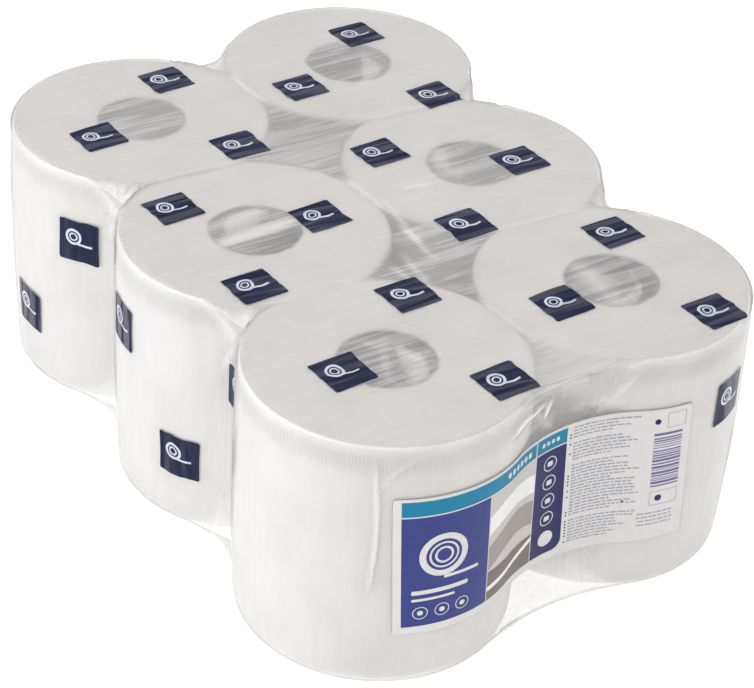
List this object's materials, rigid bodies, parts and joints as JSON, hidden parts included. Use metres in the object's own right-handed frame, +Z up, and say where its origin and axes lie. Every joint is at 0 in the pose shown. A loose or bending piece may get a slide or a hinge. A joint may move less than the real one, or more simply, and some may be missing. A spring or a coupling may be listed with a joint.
{
  "type": "pack of centrefeed paper rolls",
  "caption": "Coreless centrefeed paper rolls standing in two columns, held tight in one translucent printed film wrap, with a wide paper label across the front hollow.",
  "frame": {"origin": "on the resting plane, under the middle of the pack's box", "axes": "+X to the right across the two columns, seen from the label end; +Y back along the three rows, away from the label; +Z up along the rolls' axes"},
  "size_m": [0.3848, 0.5485, 0.191],
  "materials": {
    "wiping_paper": "matt white tissue, finely embossed",
    "wrap_film": "hazy clear polyethylene film with dark blue printed patches",
    "label_paper": "semi-gloss coated paper, printed"
  },
  "bodies": {
    "root": {"roll_front_left": "wiping_paper", "roll_front_right": "wiping_paper", "roll_middle_left": "wiping_paper", "roll_middle_right": "wiping_paper", "roll_back_left": "wiping_paper", "roll_back_right": "wiping_paper", "film_wrap": "wrap_film", "label": "label_paper"}
  },
  "joints": []
}
